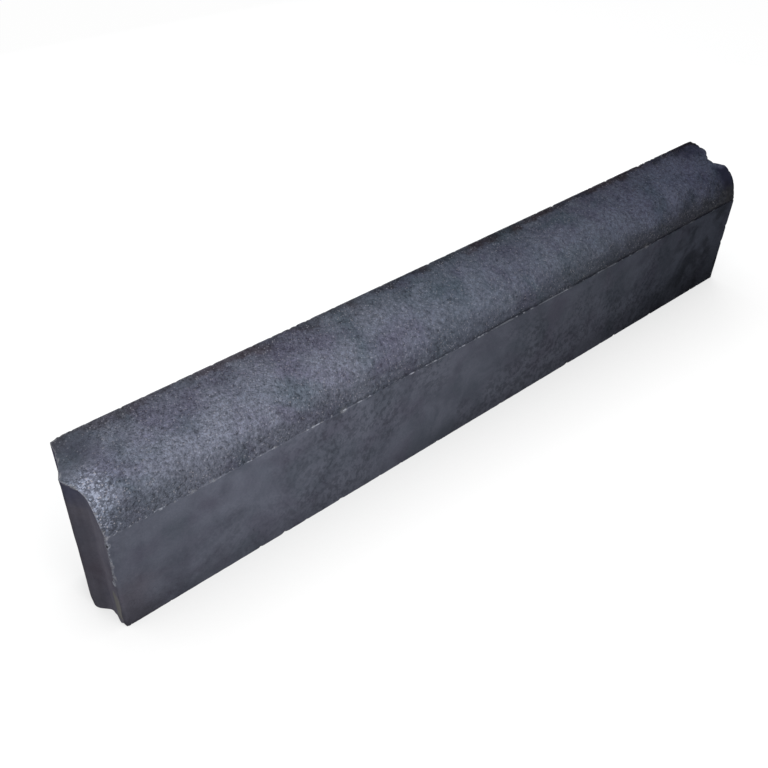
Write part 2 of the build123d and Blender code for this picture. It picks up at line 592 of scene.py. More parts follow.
# %% Cut the grids into quads
def quads(ids, turned):
    """Four corners for each cell of a grid of numbers: this point, the next along, the one across
    from it and the next up."""
    a, b, c, d = ids[:-1, :-1], ids[1:, :-1], ids[1:, 1:], ids[:-1, 1:]
    corners = (a, d, c, b) if turned else (a, b, c, d)
    return np.stack([corner.ravel() for corner in corners], axis=-1)


cells = [quads(ids, turned) for ids, _, turned, _ in faces_of_stone]
finish = np.concatenate([np.full(len(c), kind) for c, (_, _, _, kind) in zip(cells, faces_of_stone)])
cells = np.concatenate(cells)

# The mould's wall, not its end plate, forms the rounded front corners.
middle = skin[cells].mean(1)
for beyond, radii in ((-middle[:, 0], NEAR_CORNER_RADII), (middle[:, 0], FAR_CORNER_RADII)):
    turns = (middle[:, 1] < low.y + np.interp(middle[:, 2], CORNER_HEIGHTS, radii)) & (beyond > 0)
    finish[turns & (finish == END_FINISH)] = WALL_FINISH


def skin_normals(places):
    """Normals at the points: the cross product of each quad's diagonals, added up over the quads
    round a point."""
    corner = places[cells]
    across = np.cross(corner[:, 2] - corner[:, 0], corner[:, 3] - corner[:, 1])
    normals = np.zeros_like(places)
    for side in range(4):
        for axis in range(3):
            normals[:, axis] += np.bincount(cells[:, side], across[:, axis], len(places))
    return normals / np.linalg.norm(normals, axis=1, keepdims=True)


print(2 * len(cells), "triangles")

# %% [markdown]
# ## What use and the mould left on it
#
# The walls wave by a few tenths of a millimetre, the crown is lumpy where the press head tore
# the sand, chips are missing along the arrises, and the burr stands on the seam's ledge. Each is
# a height along the normal, worked out for all points at once. All of it goes inwards, because
# the stone fills its size exactly, and only the burr rises, up from its ledge.

# %% Which points belong to which kind of face, and how far they are from an arris
def gather(values):
    """One value per point from one grid of values per face, averaged where faces share a point."""
    summed = np.zeros(total)
    for (ids, _, _, _), value in zip(faces_of_stone, values):
        summed[ids.ravel()] += np.broadcast_to(value, ids.shape).ravel()
    return summed / shared


ARRIS_FADE = 2.2 * MM
DAMP_FOOT = 0.3
end_gap = np.minimum(along - along[0], along[-1] - along)[:, None]
crown_gap = np.minimum(end_gap, OVER_TOP - column_over)
bed_gap = np.minimum(end_gap, np.minimum(column_y - low.y, high.y - column_y))
face_top_gap = column_top[:, None] * (1 - up)
end_face_gap = np.minimum(column_top[:, None] * up, face_top_gap)
arris = gather([
    np.exp(-crown_gap / ARRIS_FADE),
    np.exp(-bed_gap / ARRIS_FADE),
    DAMP_FOOT * np.exp(-up * SEAM_HEIGHT / ARRIS_FADE),
    np.exp(-np.minimum(up, 1 - up) * HEIGHT / ARRIS_FADE),
    np.exp(-end_face_gap / ARRIS_FADE),
    np.exp(-end_face_gap / ARRIS_FADE),
])
on_crown, on_walls, on_ends, on_bed = (
    gather([kind == wanted for _, _, _, kind in faces_of_stone])
    for wanted in (CROWN_FINISH, WALL_FINISH, END_FINISH, BED_FINISH)
)

# The front upright corners are arrises too, along the line where the end turns into the corner.
CORNER_FADE = 1.6 * MM
CRUMBLY_FROM = 62.0 * MM
CALM_FOOT = 0.3
for shoulder, radii in ((TONGUE_SHOULDER, NEAR_CORNER_RADII), (GROOVE_SHOULDER, FAR_CORNER_RADII)):
    radius = np.interp(skin[:, 2], CORNER_HEIGHTS, radii)
    reach = np.hypot(skin[:, 0] - shoulder, skin[:, 1] - low.y - radius)
    crumbles = np.where(skin[:, 2] > CRUMBLY_FROM, 1.0, CALM_FOOT) * (skin[:, 2] < SEAM_HEIGHT)
    arris = np.maximum(arris, np.exp(-reach / CORNER_FADE) * crumbles)
    if shoulder == TONGUE_SHOULDER:
        below, above = CRUMBLY_FROM - skin[:, 2], skin[:, 2] - SEAM_HEIGHT
        corner_gap = reach + np.clip(below, 0, None) + np.clip(above, 0, None)

# How far a point is from the seam; on the faces that the seam isn't on, simply far.
FAR_OFF = 50.0 * MM
seam_gap = gather([column_over, FAR_OFF, SEAM_HEIGHT * (1 - up), FAR_OFF, FAR_OFF, FAR_OFF])
print("points near an arris:", int((arris > 0.4).sum()))

# %% Waves of the mould, lumps of the crown and the rough bed
SLOW_LENGTH, MIDDLING_LENGTH, LUMP_LENGTH = 140.0 * MM, 35.0 * MM, 6.2 * MM
CALM_AT_SEAM = 2.5 * MM
CALM_AT_ARRIS = 0.85

normals = skin_normals(skin)
slow, middling, lumps = (
    waves(skin, SLOW_LENGTH, 1), waves(skin, MIDDLING_LENGTH, 2), waves(skin, LUMP_LENGTH, 3, 60))
# How deep each kind of face lies on average, and its share of each kind of wave, in millimetres.
reliefs = [
    (on_crown, 0.20, 0.10, 0.06, 0.10),
    (on_walls * ease(seam_gap / CALM_AT_SEAM), 0.15, 0.09, 0.05, 0.0),
    (on_ends, 0.15, 0.06, 0.07, 0.0),
    (on_bed, 0.15, 0.0, 0.0, 0.15),
]
relief = np.zeros(total)
for mask, depth, slow_share, middling_share, lump_share in reliefs:
    height = slow_share * slow + middling_share * middling + lump_share * lumps - depth
    relief += mask * np.clip(height, None, 0) * MM
relief *= 1 - CALM_AT_ARRIS * np.clip(arris / DAMP_FOOT, 0, 1)
skin += relief[:, None] * normals
print("relief from", round(relief.min() / MM, 2), "to", round(relief.max() / MM, 2), "mm")

# %% Burr on the seam's ledge, and the furrow behind it
BURR_RISE = 0.30 * MM
FURROW_DEPTH = 0.9 * MM
FURROW_PROFILE = np.array([0.3, 0.9, 1.0, 0.7, 0.15])
BURR_SHARES = (1.0, 0.8)
BURR_RUN, BURR_CRUMB, FURROW_RUN = 45.0 * MM, 8.0 * MM, 60.0 * MM
FURROW_FROM, FURROW_FULL = -350.0 * MM, 150.0 * MM

seam_places = skin[number[:, 0, -1]]
burr_waves = waves(seam_places, BURR_RUN, 21) + waves(seam_places, BURR_CRUMB, 22, 40)
burr_along = np.clip(0.55 * burr_waves, 0, 1.7)
for column, share in enumerate(BURR_SHARES):
    skin[number[:, column, -1], 2] += share * BURR_RISE * burr_along
furrow_grows = ease((seam_places[:, 0] - FURROW_FROM) / (FURROW_FULL - FURROW_FROM))
furrow_along = ease(0.75 + 0.5 * waves(seam_places, FURROW_RUN, 23)) * furrow_grows
furrow = np.zeros(total)
for column, share in enumerate(FURROW_PROFILE, start=len(BURR_SHARES)):
    line = number[:, column, -1]
    skin[line] -= (share * FURROW_DEPTH * furrow_along)[:, None] * crown_normal[column]
    furrow[line] = share * furrow_along
print("burr rises up to", round(BURR_RISE * burr_along.max() / MM, 2), "mm,",
      "over", int((burr_along > 0).sum()), "stations")

# %% Chips knocked off the arrises
CHIP_SEED = 5
CHIP_LEAST, CHIP_MOST = 0.9 * MM, 3.6 * MM
CHIP_DEPTH_SHARE = 0.42
CHIP_RARITY = 2.6
CHIP_SHOWS = 0.6 * MM
CORNER_STATION = 4
crumbly_row = np.searchsorted(up * SEAM_HEIGHT, CRUMBLY_FROM)
chip_lines = [
    (number[0, :, -1], 26), (number[-1, :, -1], 16), (number[:, -1, -1], 34), (number[:, 0, -1], 20),
    (number[:, 0, 0], 22), (number[:, -1, 0], 22), (number[0, :, 0], 10), (number[-1, :, 0], 8),
    (number[0, CORNER_STATION, crumbly_row:], 9), (number[-1, CORNER_STATION, :], 5),
]
chip_dice = np.random.default_rng(CHIP_SEED)
chip_ids = np.concatenate([chip_dice.choice(line, count) for line, count in chip_lines])
chip_radii = CHIP_LEAST + (CHIP_MOST - CHIP_LEAST) * chip_dice.random(len(chip_ids)) ** CHIP_RARITY
chip, chip_way = np.zeros(total), np.zeros((total, 3))
for place, way, radius in zip(skin[chip_ids], normals[chip_ids], chip_radii):
    bowl = radius * np.clip(1 - ((skin - place) ** 2).sum(1) / radius**2, 0, 1)
    # A chip's points all go the way of its middle's normal, so that they don't cross at the arris.
    chip_way[bowl > chip] = way
    chip = np.maximum(chip, bowl)
skin -= (CHIP_DEPTH_SHARE * chip)[:, None] * chip_way
chip = np.clip(chip / CHIP_SHOWS, 0, 1)
print(len(chip_ids), "chips, the largest", round(2 * chip_radii.max() / MM, 1), "mm across")

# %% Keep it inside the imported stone's box, and make the mesh
skin = np.clip(skin, np.array(low), np.array(high))
mesh = bpy.data.meshes.new("kerb_stone_skin")
mesh.vertices.add(total)
mesh.vertices.foreach_set("co", skin.astype(np.float32).ravel())
mesh.loops.add(cells.size)
mesh.loops.foreach_set("vertex_index", cells.astype(np.int32).ravel())
mesh.polygons.add(len(cells))
mesh.polygons.foreach_set("loop_start", np.arange(0, cells.size, 4, dtype=np.int32))
mesh.polygons.foreach_set("material_index", finish.astype(np.int32))
mesh.update(calc_edges=True)
mesh.shade_smooth()

# What the finishes read at each point: masks from 0 to 1, and gaps in millimetres.
readings = {
    "arris": arris, "chip": chip, "furrow": furrow,
    "seam_gap": seam_gap / MM, "corner_gap": corner_gap / MM,
}
for title, values in readings.items():
    layer = mesh.attributes.new(title, "FLOAT", "POINT")
    layer.data.foreach_set("value", values.astype(np.float32))
stone = bpy.data.objects.new("kerb_stone_skin", mesh)
bpy.context.scene.collection.objects.link(stone)
print("one mesh of", 2 * len(mesh.polygons), "triangles; valid as made:", not mesh.validate())

# %% [markdown]
# ## Finishes
#
# All the faces are one concrete, so what they share is built once as node groups: the sand grains, the
# cloudy tone of the cement, the drag marks of the mould, air holes, stains and painted light and shade
# that belong to places on the stone, and the pale wear on arrises with a painted shadow above the
# seam. Each material then mixes the same groups in its own measure. The groups give only colours,
# masks and heights; the shader itself stays in the material.


# %% Helpers for groups and their sums
def new_group(name, inputs, outputs):
    """An empty shader node group that reads a place. Inputs are the names and values of its
    numbers, and outputs the names of what it puts out."""
    tree = bpy.data.node_groups.new(name, "ShaderNodeTree")
    tree.interface.new_socket("Place", in_out="INPUT", socket_type="NodeSocketVector")
    for title, value in inputs.items():
        socket = tree.interface.new_socket(title, in_out="INPUT", socket_type="NodeSocketFloat")
        socket.default_value = value
    for title in outputs:
        tree.interface.new_socket(title, in_out="OUTPUT", socket_type="NodeSocketFloat")
    given = node(tree, "NodeGroupInput").outputs
    return tree, *(given[title] for title in ("Place", *inputs))


def give(tree, **values):
    """Connects values to the group's outputs, named in lower case."""
    given_out = node(tree, "NodeGroupOutput")
    for title, value in values.items():
        tree.links.new(value, given_out.inputs[title.capitalize()])


def product(tree, *factors):
    """All the factors, numbers or sockets, multiplied together."""
    return maths(tree, "MULTIPLY", *factors)


def total_of(tree, *terms):
    """All the terms, numbers or sockets, added together."""
    return maths(tree, "ADD", *terms)


def weighted(tree, rest, *parts):
    """A number plus parts, each a value times its weight."""
    return total_of(tree, *(product(tree, *part) for part in parts), rest)


def distance_from(tree, value, middle):
    """How far a value is from a middle, on either side."""
    return maths(tree, "ABSOLUTE", total_of(tree, value, -middle), 0.0)


def band(tree, value, low_end, high_end, to_low=0.0, to_high=1.0):
    """Maps a value from one range to another with a smooth step, held at both ends."""
    links = (("Value", value), ("From Min", low_end), ("From Max", high_end),
             ("To Min", to_low), ("To Max", to_high))
    return node(tree, "ShaderNodeMapRange", links, interpolation_type="SMOOTHSTEP").outputs["Result"]


print("helpers for sums ready")


# %% Helpers for patterns and colours
def axes(tree, place):
    """The three coordinates of a place."""
    split = node(tree, "ShaderNodeSeparateXYZ", (("Vector", place),))
    return [split.outputs[axis] for axis in "XYZ"]


def noise(tree, place, scale, detail=3.0, roughness=0.5, distortion=0.0):
    """The value of a noise texture: scale is in blots per metre."""
    links = (("Vector", place), ("Scale", scale), ("Detail", detail), ("Roughness", roughness),
             ("Distortion", distortion))
    return node(tree, "ShaderNodeTexNoise", links).outputs["Fac"]


def pebbles(tree, place, scale):
    """Cells packed side by side, scale of them per metre: how far a point is from its cell's
    middle, in cells, and three random numbers that each cell has for itself."""
    cell = node(tree, "ShaderNodeTexVoronoi", (("Vector", place), ("Scale", scale)), feature="F1")
    dice = node(tree, "ShaderNodeSeparateColor", (("Color", cell.outputs["Color"]),)).outputs
    return cell.outputs["Distance"], dice["Red"], dice["Green"], dice["Blue"]


def tint(tree, blend, factor, first, second):
    """The colour output of a Mix node with the given blend type."""
    made = node(tree, "ShaderNodeMix", data_type="RGBA", blend_type=blend, clamp_factor=True)
    sockets = {socket.identifier: socket for socket in made.inputs}
    for key, value in (("Factor_Float", factor), ("A_Color", first), ("B_Color", second)):
        if isinstance(value, bpy.types.NodeSocket):
            tree.links.new(value, sockets[key])
        else:
            sockets[key].default_value = value
    return next(socket for socket in made.outputs if socket.identifier == "Result_Color")


print("helpers for patterns ready")

# %% Sand grains: cells of random tone in loose clumps, some of them pale, each a small bump
DUST_PER_GRAIN, CLUMPS_PER_GRAIN = 1.9, 0.4
GRAIN_EDGE, PALE_GRAINS, LOW_GRAIN = (0.75, 0.1), (0.86, 0.97), 0.35


def build_sand():
    """Tone is a cell's random grey with dust and clumps, and Fine is that without the clumps."""
    tree, place, scale = new_group(
        "sand_grains", {"Grains per metre": 600.0}, ("Tone", "Fine", "Pale", "Height"))
    off_middle, grey_dice, rise_dice, pale_dice = pebbles(tree, place, scale)
    dust = noise(tree, place, product(tree, scale, DUST_PER_GRAIN), 3.0, 0.6)
    clumps = noise(tree, place, product(tree, scale, CLUMPS_PER_GRAIN), 2.0, 0.6)
    round_top = band(tree, off_middle, *GRAIN_EDGE)
    swell = product(tree, round_top, band(tree, rise_dice, 0.0, 1.0, LOW_GRAIN, 1.0))
    fine = weighted(tree, -0.41, (grey_dice, 0.42), (dust, 0.40))
    pale = product(tree, band(tree, pale_dice, *PALE_GRAINS), round_top)
    give(tree, fine=fine, pale=pale, tone=weighted(tree, -0.10, (fine,), (clumps, 1.2)),
         height=total_of(tree, swell, product(tree, dust, 0.7), product(tree, clumps, 0.8)))
    return tree


sand = build_sand()
print("group", sand.name)

# %% Clouds: the blotchy tone and hue of cement, and a mottle that shows only in patches
HUES_PER_CLOUD, PATCHES_PER_CLOUD, FLECKS_PER_CLOUD = 0.7, 0.45, 7.5
CLOUD_EDGE, HUE_EDGE, PATCH_EDGE, FLECK_EDGE = (0.3, 0.7), (0.38, 0.62), (0.36, 0.62), (0.42, 0.62)
MOTTLE_ALONG, NEAR_MOTTLE = (-0.45, -0.15), 0.35


def build_clouds():
    """Each output is a noise of its own size. The mottle fades towards the near end."""
    tree, place, scale = new_group(
        "cement_clouds", {"Clouds per metre": 22.0}, ("Cloud", "Hue", "Mottle"))
    broad = noise(tree, place, scale, 5.0, 0.55, 0.6)
    hue = noise(tree, place, product(tree, scale, HUES_PER_CLOUD), 3.0, 0.55, 0.4)
    patches = noise(tree, place, product(tree, scale, PATCHES_PER_CLOUD), 2.0)
    flecks = noise(tree, place, product(tree, scale, FLECKS_PER_CLOUD), 4.0, 0.65)
    reach = band(tree, axes(tree, place)[0], *MOTTLE_ALONG, NEAR_MOTTLE, 1.0)
    mottle = product(tree, band(tree, patches, *PATCH_EDGE), band(tree, flecks, *FLECK_EDGE), reach)
    give(tree, cloud=band(tree, broad, *CLOUD_EDGE), hue=band(tree, hue, *HUE_EDGE), mottle=mottle)
    return tree


clouds = build_clouds()
print("group", clouds.name)

# %% Drag marks: faint upright streaks that the mould wall left as the stone was pushed out
STREAKS_ACROSS, STREAKS_UP, STREAK_EDGE = 110.0, 9.0, (0.3, 0.7)


def build_drag():
    """Noise on places that are squeezed far less upwards than across, so that its blots are long."""
    tree, place = new_group("drag_marks", {}, ("Streak",))
    squeeze = (STREAKS_ACROSS, STREAKS_ACROSS, STREAKS_UP)
    squeezed = node(tree, "ShaderNodeMapping", (("Vector", place), ("Scale", squeeze))).outputs[0]
    give(tree, streak=band(tree, noise(tree, squeezed, 1.0, 4.0, 0.6), *STREAK_EDGE))
    return tree


drag = build_drag()
print("group", drag.name)

# %% Air holes: a few small round pits, each inside its own cell
HOLE_LEAST, HOLE_MOST, HOLE_EDGE = 0.03, 0.09, (1.0, 0.6)


def build_holes():
    """A hole is where the distance from its cell's middle is less than its random size."""
    tree, place, scale, share = new_group(
        "air_holes", {"Cells per metre": 61.0, "Share": 0.2}, ("Hole",))
    off_middle, pick_dice, size_dice, _ = pebbles(tree, place, scale)
    size = band(tree, size_dice, 0.0, 1.0, HOLE_LEAST, HOLE_MOST)
    pit = band(tree, maths(tree, "DIVIDE", off_middle, size), *HOLE_EDGE)
    give(tree, hole=product(tree, pit, maths(tree, "LESS_THAN", pick_dice, share)))
    return tree


holes = build_holes()
print("group", holes.name)

# %% [markdown]
# ## Stains and painted shading
#
# Much of a kerb's tone belongs to places: its foot is darker, its flank is darker above the seam, its
# back edge is rusty, and its far shoulder is smeared. Some masks here are painted light and shade: the
# stone is painted darker from the middle to the far end, as shade, the ends' upper part carries a
# painted shadow under the crown's lip, and the near shoulder a painted highlight, the glint. Each mask
# is a product of smooth steps along, across or up the stone. Noise is added to the place first, so
# that its borders wander.

# %% Where each stain or painted shade begins and where it is full, in metres along, across or up the stone
# FAR_ALONG and MID_ALONG also place painted shade, which darkens the stone from the middle to the far
# end.
FAR_ALONG, NEAR_ALONG, MID_ALONG = (0.13, 0.46), (-0.33, -0.46), (-0.36, -0.02)
# TOP_UP marks the ends' upper part, where a painted shadow lies under the crown's lip.
BACK_ACROSS, TOP_UP, TONGUE_ACROSS = (-0.006, 0.036), (0.148, 0.172), (0.025, 0.008)
CORNER_ALONG, CORNER_ACROSS = (-0.452, -0.482), (-0.006, 0.010)
RIM_ALONG, RIM_ACROSS, LEAST_RIM = (-0.46, -0.10), (0.032, 0.041), 0.45
# The flank is darker above the seam, and towards the far end painted shade darkens it further.
FLANK_ALONG, FLANK_UP, FLANK_SHARES, FLANK_FAR_SHADE = (0.02, 0.22), (0.171, 0.144), (0.65, 0.97), 0.46
# The foot is darker towards the bed; at the far end it is darker and reaches higher, as painted shade.
FOOT_END, FOOT_END_SHARE, FOOT_FAR_SHADE, FOOT_SHARE = (-0.45, -0.49), 0.4, 0.65, 0.5
FOOT_HEIGHT, FOOT_FAR_SHADE_RISE = 0.045, 0.055
# A painted highlight: the glint of bright grains on the near end's shoulder.
GLINT_ALONG, GLINT_ACROSS, GLINT_FRONT = (-0.466, -0.496), (-0.004, -0.014), (-0.044, -0.036)
FAR_SHOULDER_ALONG, FAR_SHOULDER_ACROSS = (0.464, 0.480), (-0.011, -0.021)
FAR_BACK_ALONG, FAR_BACK_ACROSS, FAR_BACK_SHARE = (0.440, 0.476), (0.012, 0.030), 0.6
ABOVE_MOULD = (0.130, 0.134)
CRUST_MIDDLE, CRUST_ACROSS, CRUST_UP = -0.0350, (0.0068, 0.0040), (0.047, 0.037)
CRUST_ALONG, CRUST_OFF_BED = (-0.490, -0.496), (0.003, 0.014)
MAUVE_ALONG, MAUVE_ACROSS, MAUVE_UP = (-0.440, -0.488), (-0.038, -0.043), (0.080, 0.040)
BLOT_ALONG = (0.28, 0.43)
# The noises: blots per metre, and the tones between which a blot's edge lies.
WANDERS, BORDER_WANDER, NEAR_WANDER, FAR_WANDER = 28.0, 0.045, 0.2, 0.3
RUST_PATCHES, RUST_EDGE = 13.0, (0.44, 0.58)
WALL_BLOTS, BLOT_EDGE = 24.0, (0.46, 0.60)
print("the far end's shade begins at x", FAR_ALONG[0], "and is full at x", FAR_ALONG[1])


# %% Stains and painted shading: broad tones that belong to places on the stone, with wandering borders
def build_stains():
    """Each output is 1 where the stain or painted shading is full and 0 where it has ended."""
    tree, place = new_group("stains", {}, (
        "Back", "Rim", "Flank", "Foot", "Far", "Tongue", "Top", "Smear", "Crust", "Glint",
        "Patches", "Near", "Corner", "Blot", "Mid", "Mauve"))
    x, y, z = axes(tree, place)
    wander = total_of(tree, noise(tree, place, WANDERS, 4.0, 0.6), -0.5)
    shift = product(tree, wander, BORDER_WANDER)
    along_it, across, raised = (total_of(tree, axis, shift) for axis in (x, y, z))
    x_near = total_of(tree, x, product(tree, wander, NEAR_WANDER))
    x_far = total_of(tree, x, product(tree, wander, FAR_WANDER))
    # far and mid also carry the painted shade along the stone.
    far, near, mid = (
        band(tree, x_far, *FAR_ALONG), band(tree, x_near, *NEAR_ALONG), band(tree, x_near, *MID_ALONG))

    corner = product(tree, band(tree, along_it, *CORNER_ALONG), band(tree, across, *CORNER_ACROSS))
    rim = product(tree, band(tree, across, *RIM_ACROSS),
                  band(tree, along_it, *RIM_ALONG, LEAST_RIM, 1.0))
    # Flank: darker above the seam, with painted shade added towards the far end.
    flank = product(tree, band(tree, raised, *FLANK_UP), total_of(
        tree, product(tree, far, FLANK_FAR_SHADE), band(tree, x, *FLANK_ALONG, *FLANK_SHARES)))
    # Foot: darker towards the bed, with painted shade added at the far end.
    foot_end = band(tree, along_it, *FOOT_END, 0.0, FOOT_END_SHARE)
    foot_share = total_of(tree, largest(tree, product(tree, far, FOOT_FAR_SHADE), foot_end), FOOT_SHARE)
    foot_height = total_of(tree, product(tree, far, FOOT_FAR_SHADE_RISE), FOOT_HEIGHT)
    foot = product(tree, band(tree, maths(tree, "DIVIDE", raised, foot_height), 1.0, 0.0), foot_share)
    # Glint: a painted highlight on the near end's shoulder.
    glint = product(tree, band(tree, along_it, *GLINT_ALONG), band(tree, across, *GLINT_ACROSS),
                    band(tree, across, *GLINT_FRONT))
    far_shoulder = product(tree, band(tree, along_it, *FAR_SHOULDER_ALONG),
                           band(tree, across, *FAR_SHOULDER_ACROSS))
    far_back = product(tree, band(tree, along_it, *FAR_BACK_ALONG),
                       band(tree, across, *FAR_BACK_ACROSS), FAR_BACK_SHARE)
    smear = product(tree, largest(tree, far_shoulder, far_back), band(tree, z, *ABOVE_MOULD))
    off_ridge = distance_from(tree, total_of(tree, y, product(tree, shift, 0.3)), CRUST_MIDDLE)
    crust = product(tree, band(tree, off_ridge, *CRUST_ACROSS), band(tree, raised, *CRUST_UP),
                    band(tree, x, *CRUST_ALONG), band(tree, z, *CRUST_OFF_BED))
    mauve = product(tree, band(tree, along_it, *MAUVE_ALONG), band(tree, raised, *MAUVE_UP),
                    band(tree, y, *MAUVE_ACROSS))
    patches = band(tree, noise(tree, place, RUST_PATCHES, 3.0, 0.6), *RUST_EDGE)
    blots = band(tree, noise(tree, place, WALL_BLOTS, 4.0, 0.6), *BLOT_EDGE)
    # top is where the painted shadow under the crown's lip lies on the ends.
    give(tree, rim=rim, flank=flank, foot=foot, far=far, smear=smear, crust=crust, glint=glint,
         patches=patches, near=near, corner=corner, mid=mid, mauve=mauve,
         back=band(tree, across, *BACK_ACROSS), top=band(tree, raised, *TOP_UP),
         tongue=band(tree, distance_from(tree, y, 0.0), *TONGUE_ACROSS),
         blot=product(tree, band(tree, x, *BLOT_ALONG), blots))
    return tree


stains = build_stains()
print("group", stains.name)

# %% [markdown]
# ## Wear
#
# Where an arris crumbled, the pale inside of the concrete shows, and so it does in chips and in
# the crumbs of the burr. The mesh's own attributes say how near a point is to an arris, to the
# seam or to the rough corner, and noises of a few sizes break the line up.

# %% Places of the wear
BLOWHOLE = (-0.5003, -0.0438, 0.1222)
CORNER_CHIP = (-0.5003, -0.0388, 0.0630)
# Distances from those two, in metres.
PIT_EDGE, HALO_EDGE, CORNER_CHIP_EDGE = (0.0025, 0.0017), (0.0048, 0.0034), (0.0036, 0.0022)
# Distances from the seam and from the rough corner, in millimetres, as the attributes have them.
WIDE_BURR, NARROW_BURR, SHADE_ABOVE, ROUGH_EDGE = (1.7, 0.4), (0.9, 0.15), (9.0, 1.5), (2.4, 1.0)
# Noises, in blots per metre, and the shares of the arris that wear reaches.
CRUMBS, RUNS, BEADS = 420.0, 38.0, 150.0
WORN_ARRIS, EDGE_LINE = (0.25, 0.9), (0.70, 0.92)
# Along or up the stone, in metres, and what each gives there.
OFF_BED, OFF_BED_SHARES = (0.004, 0.03), (0.1, 1.0)
EDGE_LINE_ALONG, EDGE_LINE_UP = (-0.490, -0.497), (0.150, 0.160)
THREAD_ALONG, THREAD_SHARES = (-0.20, 0.10), (0.2, 0.45)
WIDE_ALONG = (-0.36, -0.42)
NARROW_ALONG, NARROW_SHARES = (0.20, 0.42), (1.0, 0.45)
SHADE_ALONG, SHADE_SHARES = (-0.35, 0.10), (0.3, 1.0)
print("the blowhole lies", round(1000 * BLOWHOLE[2]), "mm above the bed")


# %% Wear: pale arrises and chips, the crumbs of the burr, the dark furrow, the corner's marks and a painted shadow above the seam
def build_wear():
    """Wear and Burr are pale masks, Furrow, Pit and Shadow are dark ones."""
    tree, place = new_group("arris_wear", {}, ("Wear", "Burr", "Furrow", "Pit", "Shadow"))
    x, _, z = axes(tree, place)
    arris_read, chip_read, seam_read, furrow_read, corner_read = (
        node(tree, "ShaderNodeAttribute", attribute_name=title).outputs["Fac"]
        for title in ("arris", "chip", "seam_gap", "furrow", "corner_gap"))
    crumbs = noise(tree, place, CRUMBS, 3.0, 0.7)
    runs = noise(tree, place, RUNS)
    beads = noise(tree, place, BEADS, 2.0, 0.6)
    off_hole, off_chip = (
        node(tree, "ShaderNodeVectorMath", ((0, place), (1, spot)), operation="DISTANCE")
        .outputs["Value"] for spot in (BLOWHOLE, CORNER_CHIP))

    rim = product(tree, band(tree, arris_read, *WORN_ARRIS), band(tree, crumbs, 0.4, 0.62),
                  band(tree, runs, 0.35, 0.6), band(tree, z, *OFF_BED, *OFF_BED_SHARES))
    edge_line = product(tree, band(tree, arris_read, *EDGE_LINE), band(tree, x, *EDGE_LINE_ALONG),
                        band(tree, z, *EDGE_LINE_UP), band(tree, crumbs, 0.3, 0.5, 0.5, 1.0))
    chipped = product(tree, chip_read, band(tree, crumbs, 0.3, 0.55))
    wide = product(tree, band(tree, seam_read, *WIDE_BURR), band(tree, x, *WIDE_ALONG))
    narrow = product(tree, band(tree, seam_read, *NARROW_BURR),
                     band(tree, x, *NARROW_ALONG, *NARROW_SHARES))
    thread = product(tree, band(tree, runs, 0.48, 0.62), band(tree, x, *THREAD_ALONG, *THREAD_SHARES))
    crumbly = largest(tree, band(tree, beads, 0.54, 0.68), thread)
    rough_corner = product(tree, band(tree, corner_read, *ROUGH_EDGE), band(tree, crumbs, 0.40, 0.56),
                           band(tree, beads, 0.40, 0.56, 0.3, 1.0), 0.75)
    halo = product(tree, band(tree, off_hole, *HALO_EDGE), band(tree, crumbs, 0.36, 0.56), 0.8)
    burr = largest(tree, product(tree, largest(tree, wide, narrow), crumbly), rough_corner, halo,
                   band(tree, off_chip, *CORNER_CHIP_EDGE))
    # Shadow: painted shade on the crown just above the seam.
    shadow = product(tree, band(tree, seam_read, *SHADE_ABOVE),
                     band(tree, x, *SHADE_ALONG, *SHADE_SHARES),
                     band(tree, crumbs, 0.3, 0.6, 0.6, 1.2))
    give(tree, wear=largest(tree, rim, edge_line, chipped), burr=burr, shadow=shadow,
         furrow=product(tree, furrow_read, band(tree, crumbs, 0.2, 0.5, 0.6, 1.0)),
         pit=band(tree, off_hole, *PIT_EDGE))
    return tree


wear = build_wear()
print("group", wear.name)

# %% [markdown]
# ## Four materials from the shared groups
#
# The cement's colour comes first, with painted shading along the stone and a painted shadow on the
# ends' upper part, then its tone, in which sand, streaks, stains and painted shade are shares more or
# less, and then paints such as pale grains, more of them where the painted glint is, and dark holes go
# over it. One function does that for all four finishes, and they differ only in the values that it is
# given.

# %% Colours, and how much of the marks that every finish has in like measure
PALE_SAND = (0.43, 0.42, 0.47, 1.0)
WORN_CEMENT = (0.30, 0.30, 0.32, 1.0)
BURR_CEMENT = (0.40, 0.42, 0.48, 1.0)
HOLE_SHADE = (0.02, 0.02, 0.022, 1.0)
FURROW_SHADE = (0.022, 0.024, 0.034, 1.0)
RUST_TINGE = (0.125, 0.088, 0.102, 1.0)
BEIGE_CRUST = (0.235, 0.228, 0.205, 1.0)
PURPLE_SMEAR = (0.86, 0.82, 1.0, 1.0)
# The bluish darkening of the painted shadow under the crown's lip.
NAVY_LIP_SHADOW = (0.69, 0.73, 0.86, 1.0)
PLAIN = (1.0, 1.0, 1.0, 1.0)
RUST_SHARE, MAUVE_SHARE, CRUST_SHARE, MID_SHADED = 0.7, 0.30, 0.7, (0.6, 1.0)
WEAR_SHARE, FURROW_SHARE, BURR_SHARE, HOLE_SHARE = 0.55, 0.85, 0.8, 0.85
CALM_SAND, CORNER_SMOOTH, SPARKLE_EDGE = 0.5, 0.5, (0.50, 0.88)
DULLER, SHINIER = 0.08, 0.1
print("cement worn pale is", WORN_CEMENT[:3], "and a hole", HOLE_SHADE[:3])


# %% The cement's colour
def placed(tree, group, place, *links):
    """Places a node group that reads a place, and gives back its outputs."""
    return node(tree, "ShaderNodeGroup", (("Place", place), *links), node_tree=group).outputs


